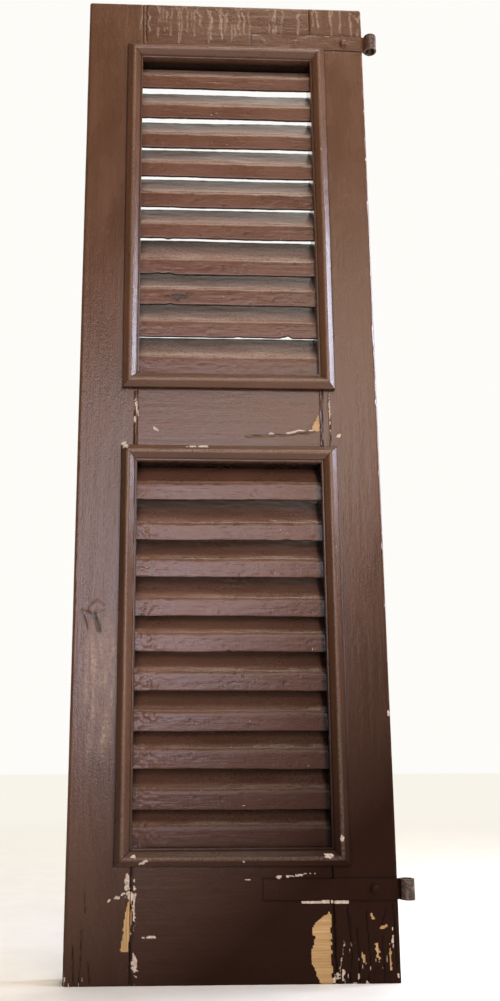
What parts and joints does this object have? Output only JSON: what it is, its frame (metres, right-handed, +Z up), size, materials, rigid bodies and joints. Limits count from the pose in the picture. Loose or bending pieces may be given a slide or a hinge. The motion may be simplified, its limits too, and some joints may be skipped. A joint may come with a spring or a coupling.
{
  "type": "louvred shutter leaf",
  "caption": "Painted wooden shutter leaf with two windows of fixed sloping slats, applied mouldings and iron strap hinges.",
  "frame": {"origin": "lower hinge eye's bore axis, at the eye's lower end", "axes": "+Z up the hinge axis, the leaf's height; leaf towards -X; outer face towards -Y"},
  "size_m": [0.473, 0.0663, 1.5],
  "materials": {
    "frame": "old brown oil paint on softwood, semi-gloss, chipped",
    "slats": "old brown oil paint on softwood, semi-gloss",
    "mouldings": "old brown oil paint on softwood, semi-gloss",
    "straps": "forged iron painted over with the leaf, worn at the eyes",
    "fasteners": "iron painted over with the leaf"
  },
  "bodies": {
    "root": {"left_stile": "frame", "right_stile": "frame", "top_rail": "frame", "middle_rail": "frame", "bottom_rail": "frame", "upper_slat_01": "slats", "upper_slat_02": "slats", "upper_slat_03": "slats", "upper_slat_04": "slats", "upper_slat_05": "slats", "upper_slat_06": "slats", "upper_slat_07": "slats", "upper_slat_08": "slats", "upper_slat_09": "slats", "upper_slat_10": "slats", "lower_slat_01": "slats", "lower_slat_02": "slats", "lower_slat_03": "slats", "lower_slat_04": "slats", "lower_slat_05": "slats", "lower_slat_06": "slats", "lower_slat_07": "slats", "lower_slat_08": "slats", "lower_slat_09": "slats", "lower_slat_10": "slats", "upper_moulding_top": "mouldings", "upper_moulding_bottom": "mouldings", "upper_moulding_left": "mouldings", "upper_moulding_right": "mouldings", "lower_moulding_top": "mouldings", "lower_moulding_bottom": "mouldings", "lower_moulding_left": "mouldings", "lower_moulding_right": "mouldings", "upper_strap_hinge": "straps", "lower_strap_hinge": "straps", "upper_hinge_bolt": "fasteners", "lower_hinge_bolt": "fasteners", "upper_hinge_nut": "fasteners", "lower_hinge_nut": "fasteners", "upper_strap_screws": "fasteners", "lower_strap_screws": "fasteners"}
  },
  "joints": []
}
